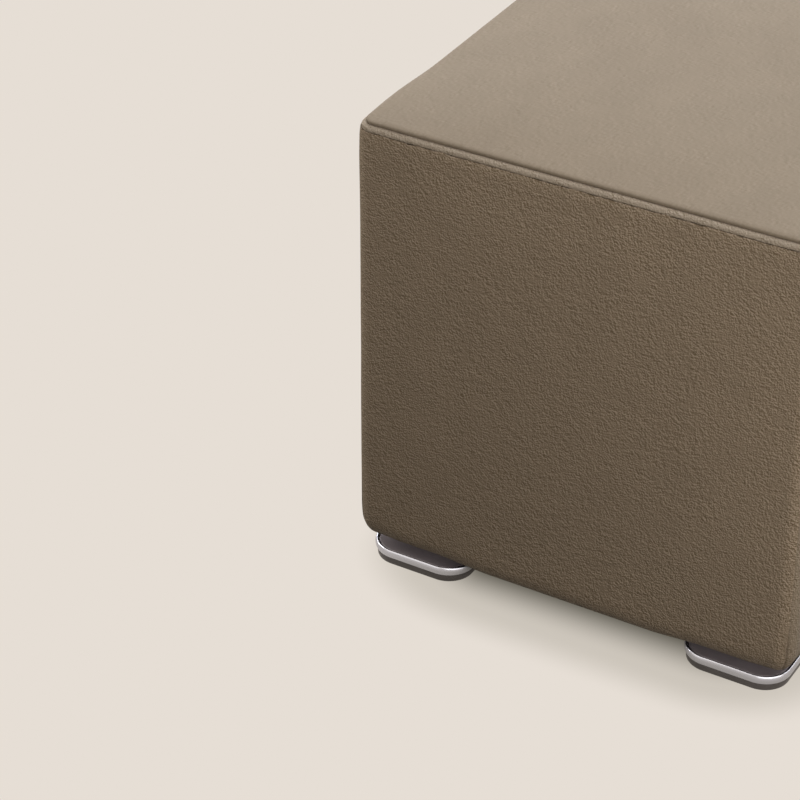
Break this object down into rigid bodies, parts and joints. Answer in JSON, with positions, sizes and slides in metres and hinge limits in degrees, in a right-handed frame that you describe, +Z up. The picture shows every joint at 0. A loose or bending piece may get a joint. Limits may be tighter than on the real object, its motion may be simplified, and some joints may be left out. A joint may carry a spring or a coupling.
{
  "type": "cube pouf stool",
  "caption": "Upholstered cube stool in brushed cloth, with a crowned top, a rolled welt round its edge and low pad feet banded in metal.",
  "frame": {"origin": "centre of the footprint, on the floor", "axes": "+Z up, -Y out of the front face, +X to the right as seen from the front"},
  "size_m": [0.425, 0.425, 0.45],
  "materials": {
    "top_cloth": "brushed microfibre with a short matt nap",
    "side_cloth": "brushed microfibre with a short mottled nap",
    "welt_cloth": "brushed microfibre rolled round a filler strip",
    "underside_cloth": "dark bonded dust cloth, matt",
    "moulded_plastic": "dark moulded plastic, fine satin grain",
    "satin_metal": "satin metal band with a bright rim"
  },
  "bodies": {
    "root": {"top_panel": "top_cloth", "edge_welt": "welt_cloth", "front_panel": "side_cloth", "right_panel": "side_cloth", "back_panel": "side_cloth", "left_panel": "side_cloth", "underside_panel": "underside_cloth", "foot_front_left_core": "moulded_plastic", "foot_front_left_band": "satin_metal", "foot_front_right_core": "moulded_plastic", "foot_front_right_band": "satin_metal", "foot_back_left_core": "moulded_plastic", "foot_back_left_band": "satin_metal", "foot_back_right_core": "moulded_plastic", "foot_back_right_band": "satin_metal"}
  },
  "joints": []
}
